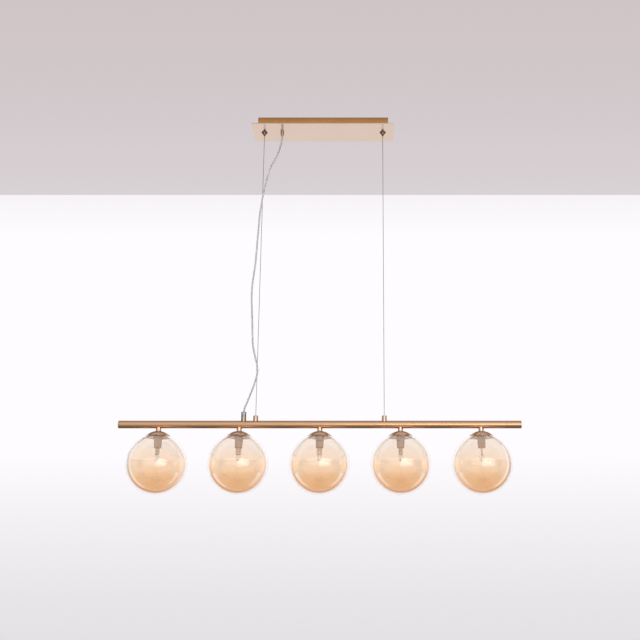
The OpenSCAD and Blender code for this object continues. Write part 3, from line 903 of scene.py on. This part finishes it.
# Lamps
def stem_model():
    """Short tube whose upper end is cut to the bar and whose lower end sits on the dome."""
    hole, thread, wall = WIRE_HOLE_R, THREAD_R, STEM_R
    stem = turned(
        "stem_model",
        [(hole, BAR_Z), (wall, BAR_Z), (wall, CAP_TOP + 0.0008), (0.00635, CAP_TOP + 0.0003),
         (wall, CAP_TOP - 0.0001), (wall, CAP_TOP - 0.00055), (thread, CAP_TOP - 0.0002),
         (thread, NIPPLE_END), (hole, NIPPLE_END), (hole, BAR_Z)],
        sides=72,
    )
    saddle_r = BAR_R + 0.00003
    saddle = turned("saddle_tool", [(saddle_r, -0.02), (saddle_r, 0.02)], sides=96, closed="both")
    return cut_by(stem, [shifted(along_x(saddle), z=BAR_Z)])


def nipple_model():
    """Threaded nipple from inside the bar to the lampholder."""
    root_r, pitch = 0.0037, 0.001
    rings = [(WIRE_HOLE_R, NIPPLE_TOP)]
    z = NIPPLE_TOP
    while z > NIPPLE_END + 0.000235:
        rings += [(THREAD_R, z - 0.0002), (root_r, z - 0.0006)]
        z -= pitch
    rings += [(root_r, NIPPLE_END), (WIRE_HOLE_R, NIPPLE_END), (WIRE_HOLE_R, NIPPLE_TOP)]
    return turned("nipple_model", rings, sides=40)


def cap_model():
    """Spun dome with a rolled rim and, under it, the ring that the glass neck turns into."""
    top_angle = math.degrees(math.acos(0.00405 / DOME_R))
    rim_angle = math.degrees(math.acos((RIM_R - 0.0007) / DOME_R))
    centre = CAP_TOP - DOME_R
    outer = arc(DOME_R, centre, top_angle, rim_angle, 22)
    inner = arc(DOME_R - CAP_SHEET, centre, rim_angle + 0.4, top_angle, 20)
    lip = [(RIM_R - 0.0001, RIM_Z + 0.00045), (RIM_R + 0.0001, RIM_Z + 0.0001),
           (RIM_R, RIM_Z - 0.00015), (RIM_R - 0.0005, RIM_Z - 0.0002)]
    dome = turned("dome_model", outer + lip + inner + [outer[0]], sides=128)
    inside, outside, top = 0.0148, 0.0158, -0.8435
    ring = turned(
        "ring_model",
        [(inside, top), (outside, top - 0.0004), (outside, RING_BOTTOM), (inside, RING_BOTTOM),
         (inside, top)],
        sides=96,
    )
    return joined("cap_model", [dome, ring])


def globe_model():
    """Blown glass: clear skin and amber lining that meet at the lip of the neck."""
    outside, inside = 0.0145, 0.0122
    neck_angle = math.degrees(math.acos(0.0150 / GLOBE_R))
    outer = [(0.0134, NECK_TOP), (0.0141, NECK_TOP - 0.0003), (outside, NECK_TOP - 0.0009),
             (outside, GLOBE_Z + 0.0745), (0.0146, GLOBE_Z + 0.0740)]
    outer += arc(GLOBE_R, GLOBE_Z, neck_angle, -90, 72)
    inner_angle = math.degrees(math.acos(0.0128 / INNER_R))
    inner = [(0.0134, NECK_TOP), (0.0127, NECK_TOP - 0.0003), (inside, NECK_TOP - 0.0009),
             (inside, GLOBE_Z + INNER_R), (0.0124, GLOBE_Z + INNER_R - 0.0006)]
    inner += arc(INNER_R, GLOBE_Z, inner_angle, -90, 68)
    skin = turned("skin_model", outer, sides=160, angle=60, weigh=False)
    lining = turned("lining_model", inner, sides=160, angle=60, weigh=False)
    lining.data.flip_normals()
    skin.data.materials.append(globe_skin)
    lining.data.materials.append(globe_amber)
    return merged(joined("globe_model", [skin, lining]), outwards=False)


def holder_model():
    """Tapered cup with a closed top, a rolled mouth and a step where it is pressed."""
    top, mouth, hole, sheet = HOLDER_TOP, HOLDER_MOUTH, 0.00405, 0.0008

    def wall(height):
        return 0.009 + 0.002 * (height - mouth) / (top - mouth)

    rings = [(hole, top), (wall(top) - sheet, top), (wall(top) - 0.0002, top - 0.0003),
             (wall(top), top - 0.0009)]
    rings += [(wall(height), height) for height in (-0.85, -0.858, -0.866, -0.874, -0.8795)]
    rings += [(0.0091, mouth + 0.0006), (0.00925, mouth + 0.0003), (0.0091, mouth),
              (0.0084, mouth), (0.00825, mouth + 0.0004)]
    rings += [(wall(height) - sheet, height) for height in (-0.8795, -0.866, -0.85, top - 0.0012)]
    rings += [(wall(top) - 2 * sheet, top - sheet), (hole, top - sheet), (hole, top)]
    return turned("holder_model", rings, sides=80)


def foot_model():
    """Pinched end of a bulb, flat side towards the front, with a pressed field on each face."""
    side, front, low = 0.0068, 0.0024, FOOT_BOTTOM - 0.0022
    foot = slab("foot_model", (-side, -front, low), (side, front, FOOT_TOP), 0.0006, 3)
    choose_faces(foot, lambda face: abs(face.normal.y) > 0.95 and face.calc_area() > 1e-4)
    bpy.ops.mesh.inset(thickness=0.0022, depth=-0.0006)
    bpy.ops.object.mode_set(mode="OBJECT")
    return settle(foot)


def pins_model():
    """Foils in a bulb's foot and the two pins above it."""
    foils = [
        slab("foil", (x - 0.0015, -0.0001, FOOT_BOTTOM + 0.003), (x + 0.0015, 0.0001, FOOT_TOP - 0.003),
             0.00003, 1)
        for x in (-0.0032, 0.0032)
    ]
    pins = []
    for x in (-0.0045, 0.0045):
        pin = turned(
            "pin_model",
            [(0.0009, FOOT_TOP - 0.002), (0.0009, FOOT_TOP + 0.0073), (0.0006, FOOT_TOP + 0.0079),
             (0.0003, FOOT_TOP + 0.008)],
            sides=24, closed="both",
        )
        pins.append(shifted(pin, x=x))
    return joined("bulb_metal_model", foils + pins)


def capsule_model():
    """Hollow capsule of a bulb, with the nib where it was sealed off."""
    radius, hollow_r, tip = 0.0063, 0.0055, FOOT_BOTTOM - 0.018
    top_z, bottom_z = FOOT_BOTTOM - radius, tip + radius
    outer = arc(radius, top_z, 89, 0, 12) + arc(radius, bottom_z, 0, -78, 14)
    outer += [(0.0011, tip - 0.00005), (0.0007, tip - 0.0005), (0.0003, tip - 0.0007),
              (0.0, tip - 0.00075)]
    skin = turned("capsule_skin", outer, sides=48, closed="start", angle=60)
    inner = arc(hollow_r, top_z, 89, 0, 10) + arc(hollow_r, bottom_z, 0, -90, 14)
    hollow = turned("capsule_hollow", inner, sides=48, closed="start", angle=60)
    hollow.data.flip_normals()
    return joined("capsule_model", [skin, hollow])


def filament_model():
    """Coiled wire in two folds between its leads."""
    middle = FOOT_BOTTOM - 0.0125
    high, low, end = middle + 0.0022, middle - 0.0026, 0.0028
    leads = []
    for sign in (-1, 1):
        route = [(sign * 0.0032, 0, FOOT_BOTTOM + 0.004), (sign * 0.0032, 0, FOOT_BOTTOM - 0.002),
                 (sign * 0.0030, 0, middle + 0.0034), (sign * end, 0, high)]
        leads.append(swept("lead", smooth_route(route, 4), 0.00022, 2))
    folds = [(-end, 0, high), (-0.0015, 0, low), (0, 0, middle + 0.0016), (0.0015, 0, low),
             (end, 0, high)]
    coil = swept("coil", twisted(smooth_route(folds, 60), 0.00062, 0.0009, 0.0), 0.0002, 1)
    return joined("filament_model", leads + [coil])


def lamps():
    """Each part of a lamp modelled once and copied five times, holder and bulb turned as they were left."""
    # Model, name, whether it is turned with the holder, finish, body, slot and node. The globe has its
    # two finishes already.
    parts = [
        (stem_model(), "lamp_stem_", False, polished_gold, "bar", "polished_gold", "stem_"),
        (nipple_model(), "lamp_nipple_", False, zinc_steel, "bar", "zinc_steel", None),
        (cap_model(), "lamp_cap_", False, polished_gold, "bar", "polished_gold", "cap_"),
        (holder_model(), "lamp_holder_", True, holder_bronze, "bar", "polished_gold", "holder_"),
        (globe_model(), "glass_globe_", False, None, "globe_", "amber_glass", "globe_"),
        (foot_model(), "bulb_foot_", True, pinch_glass, "bulb_", "clear_glass", "bulb_"),
        (capsule_model(), "bulb_capsule_", True, capsule_glass, "bulb_", "clear_glass", None),
        (pins_model(), "bulb_pins_", True, zinc_steel, "bulb_", "zinc_steel", None),
        (filament_model(), "bulb_filament_", True, tungsten, "bulb_", "zinc_steel", None),
    ]
    for i, x in enumerate(LAMPS):
        n = str(i + 1)
        place = Matrix.Translation((x, 0, 0))
        turn = place @ Matrix.Rotation(math.radians(HOLDER_TURNS[i]), 4, "Z")
        for model, name, turns, material, body, slot, node in parts:
            piece = moved(copied(model, name + n), turn if turns else place)
            body = body if body == "bar" else body + n
            fit(piece, material, body, (node + n,) if node else ())
    for part in parts:
        bpy.data.objects.remove(part[0])


lamps()

# Parts kept from the frame, with their finishes
KEPT = {
    zinc_steel: ["grip_nuts", "terminal_screws", "lock_nuts", "collet_left", "collet_right",
                 "cable_ball_left", "cable_ball_right"],
    ceramic: ["socket_%d" % n for n in range(1, 6)],
    sleeves: ["canopy_wires", "wire_loom"],
}
for material, names in KEPT.items():
    for name in names:
        dressed(cad_node(name), material)

fit(softened("ceiling_bracket", 0.0003), zinc_steel, "canopy", ("ceiling_bracket",))
fit(softened("terminal_block", 0.0005), white_plastic, "canopy", ("terminal_block",))


# Room and light
def room_finish(name, axis, tones, own=(0.8, 0.8, 0.8), gloss=None, levels=None, through=1.0):
    """A pale room face, seen by the camera and through glass as a glow whose colours along one axis are
    painted shade; through glass it glows brighter by a set factor, painted light.

    Polished metal sees it in the gloss colour, at levels that change along Y. A face without gloss is
    the backdrop: it lets reflections through to the studio's far field.
    """
    finish = Finish(name)
    finish.set(Base_Color=(*own, 1), Roughness=0.9)
    path = finish.add("LightPath").outputs
    clear = finish.add("BsdfTransparent").outputs["BSDF"]
    plain = finish.glow((1, 1, 1), finish.between(path["Is Transmission Ray"], 1.0, through))
    finish.feed(plain.node.inputs["Color"], finish.toned(axis, tones))
    mirror_image = clear
    direct = finish.math("MAXIMUM", path["Is Camera Ray"], path["Is Transmission Ray"])
    if gloss:
        reflected = finish.glow(gloss, finish.toned("Y", levels))
        past_the_wall = finish.eased(finish.along("Y"), WALL_Y, WALL_Y + 0.002)
        mirror_image = finish.mixed(past_the_wall, reflected, clear)
        direct = finish.math("MULTIPLY", direct, finish.eased(path["Glossy Depth"], 1.0, 0.0))
    mirrored = finish.math("MAXIMUM", path["Is Glossy Ray"], path["Is Transmission Ray"])
    front = finish.mixed(mirrored, finish.shader.outputs["BSDF"], mirror_image)
    front = finish.mixed(direct, front, plain)
    unseen = finish.math(
        "MAXIMUM", finish.add("NewGeometry").outputs["Backfacing"], path["Is Shadow Ray"]
    )
    finish.show(finish.mixed(unseen, front, clear))
    return finish.material


def flat(name, size, place, turn, material):
    deselect()
    bpy.ops.mesh.primitive_plane_add(size=1, location=place, rotation=turn)
    plane = bpy.context.object
    plane.name = name
    plane.scale = (size[0], size[1], 1)
    bpy.ops.object.transform_apply(location=True, rotation=True, scale=True)
    plane.data.materials.append(material)
    return plane


# Painted shade: the ceiling darkens towards the front.
pale_ceiling = room_finish(
    "pale_ceiling", "Y",
    [(-1.2, (0.60, 0.53, 0.535)), (-0.54, (0.631, 0.558, 0.564)), (-0.07, (0.645, 0.591, 0.604)),
     (0.17, (0.672, 0.617, 0.631)), (WALL_Y, (0.693, 0.645, 0.672))],
    gloss=(0.78, 0.72, 0.705), levels=[(-2.5, 1.0), (-0.9, 1.0), (-0.4, 0.8), (WALL_Y, 0.8)],
)
# Painted shade: the wall darkens towards the floor and just under the ceiling; through glass it is painted
# brighter.
pale_wall = room_finish(
    "pale_wall", "Z",
    [(-1.6, (0.70, 0.685, 0.70)), (-1.36, (0.775, 0.755, 0.775)), (-1.25, (0.81, 0.785, 0.81)),
     (-1.14, (0.855, 0.83, 0.855)), (-1.03, (0.90, 0.875, 0.90)), (-0.91, (0.96, 0.935, 0.96)),
     (-0.83, (1.0, 0.975, 1.0)), (-0.14, (1.0, 0.975, 1.0)), (0.0, (0.93, 0.90, 0.935))],
    through=1.12,
)
pale_floor = room_finish(
    "pale_floor", "Y", [(-7, (0.80, 0.785, 0.79)), (7, (0.80, 0.785, 0.79))], own=(0.82, 0.80, 0.80),
    gloss=(0.52, 0.44, 0.36), levels=[(-2.6, 1.0), (-2.2, 1.0), (-1.1, 0.42), (1, 0.4)],
)
flat("ceiling", (9, 5.4), (0, WALL_Y - 2.7, 0.0005), (math.pi, 0, 0), pale_ceiling)
flat("wall", (9, -FLOOR_Z), (0, WALL_Y, FLOOR_Z / 2), (math.pi / 2, 0, 0), pale_wall)
flat("floor", (14, 14), (0, 0, FLOOR_Z), (0, 0, 0), pale_floor)


def window_glow(name, across, up, strength):
    """A bright soft-edged field in the front wall of the room, seen only in reflections.

    Across and up hold where it starts, is full, is still full and ends.
    """
    finish = Finish(name + "_glow")
    x, z = finish.along("X"), finish.along("Z")
    shape = finish.math(
        "MULTIPLY", finish.eased(x, across[0], across[1]), finish.eased(x, across[3], across[2]),
        finish.eased(z, up[0], up[1]), finish.eased(z, up[3], up[2]),
    )
    light = finish.glow((1.0, 0.985, 0.965), finish.between(shape, 0.0, strength))
    clear = finish.add("BsdfTransparent").outputs["BSDF"]
    lit = finish.add("AddShader", {0: light, 1: clear}).outputs["Shader"]
    path = finish.add("LightPath").outputs
    hidden = finish.math(
        "MAXIMUM", path["Is Camera Ray"], path["Is Transmission Ray"],
        finish.add("NewGeometry").outputs["Backfacing"],
    )
    finish.show(finish.mixed(hidden, lit, clear))
    size = (across[3] - across[0], up[3] - up[0])
    place = ((across[3] + across[0]) / 2, FRONT_Y, (up[3] + up[0]) / 2)
    return flat(name, size, place, (-math.pi / 2, 0, 0), finish.material)


window_glow("window", (-0.02, 0.12, 1.3, 3.6), (-1.9, -1.25, -0.2, -0.1), 2.15)
window_glow("front_haze", (-3.4, -1.2, 1.2, 3.8), (-1.7, -1.15, -0.2, -0.04), 0.64)


def studio_world():
    """Plain light for the object, and what polished metal sees past the backdrop.

    That far field is bright far to the sides and straight behind, dim between and low in the middle.
    """
    world = bpy.data.worlds.new("studio")
    bpy.context.scene.world = world
    studio = Nodes(world)

    def sky(colour, strength=1.0):
        inputs = {"Color": (*colour, 1), "Strength": strength}
        return studio.add("Background", inputs).outputs["Background"]

    path = studio.add("LightPath").outputs
    way = studio.add("SeparateXYZ", {"Vector": studio.add("TexCoord").outputs["Generated"]}).outputs
    bands = studio.ramp(
        way["Y"], [(0.10, 0.0), (0.22, 1.0), (0.37, 1.0), (0.46, 0.05), (0.60, 0.05), (0.72, 1.0)]
    )
    sideways = studio.add("Math", {0: way["X"]}, operation="ABSOLUTE").outputs["Value"]
    slope = studio.math("DIVIDE", way["Z"], way["Y"])
    lit = studio.math("MAXIMUM", studio.eased(slope, -1.27, -0.565), studio.eased(sideways, 0.35, 0.6))
    far_field = sky((0.95, 0.93, 0.95), studio.between(studio.math("MULTIPLY", bands, lit), 0.16, 1.0))
    behind = studio.eased(way["Y"], -0.01, 0.02)
    mirrored = studio.mixed(behind, sky((0.20, 0.185, 0.175)), far_field)
    whole = studio.mixed(path["Is Glossy Ray"], sky((0.42, 0.41, 0.41)), mirrored)
    seen = studio.math("MAXIMUM", path["Is Camera Ray"], path["Is Transmission Ray"])
    studio.show(studio.mixed(seen, whole, sky((0.84, 0.83, 0.84))), "World Output")


def soft_light(name, place, aim, size, power, colour=(1, 1, 1)):
    deselect()
    bpy.ops.object.light_add(type="AREA", location=place)
    lamp = bpy.context.object
    lamp.name = name
    lamp.data.shape = "RECTANGLE"
    lamp.data.size, lamp.data.size_y = size
    lamp.data.energy = power
    lamp.data.color = colour
    lamp.visible_glossy = False
    lamp.visible_transmission = False
    direction = Vector(aim) - Vector(place)
    lamp.rotation_euler = direction.to_track_quat("-Z", "Y").to_euler()


studio_world()
soft_light("key", (1.5, -2.4, -0.5), (0.1, 0, -0.8), (0.9, 0.9), 26, (1.0, 0.985, 0.965))
soft_light("fill", (-2.2, -1.2, -0.4), (0, 0, -0.7), (1.2, 1.2), 14, (0.97, 0.98, 1.0))
soft_light("overhead", (0.2, -0.7, 1.2), (0, 0, -0.8), (2.0, 1.4), 30)

bpy.context.scene.view_settings.view_transform = "Standard"
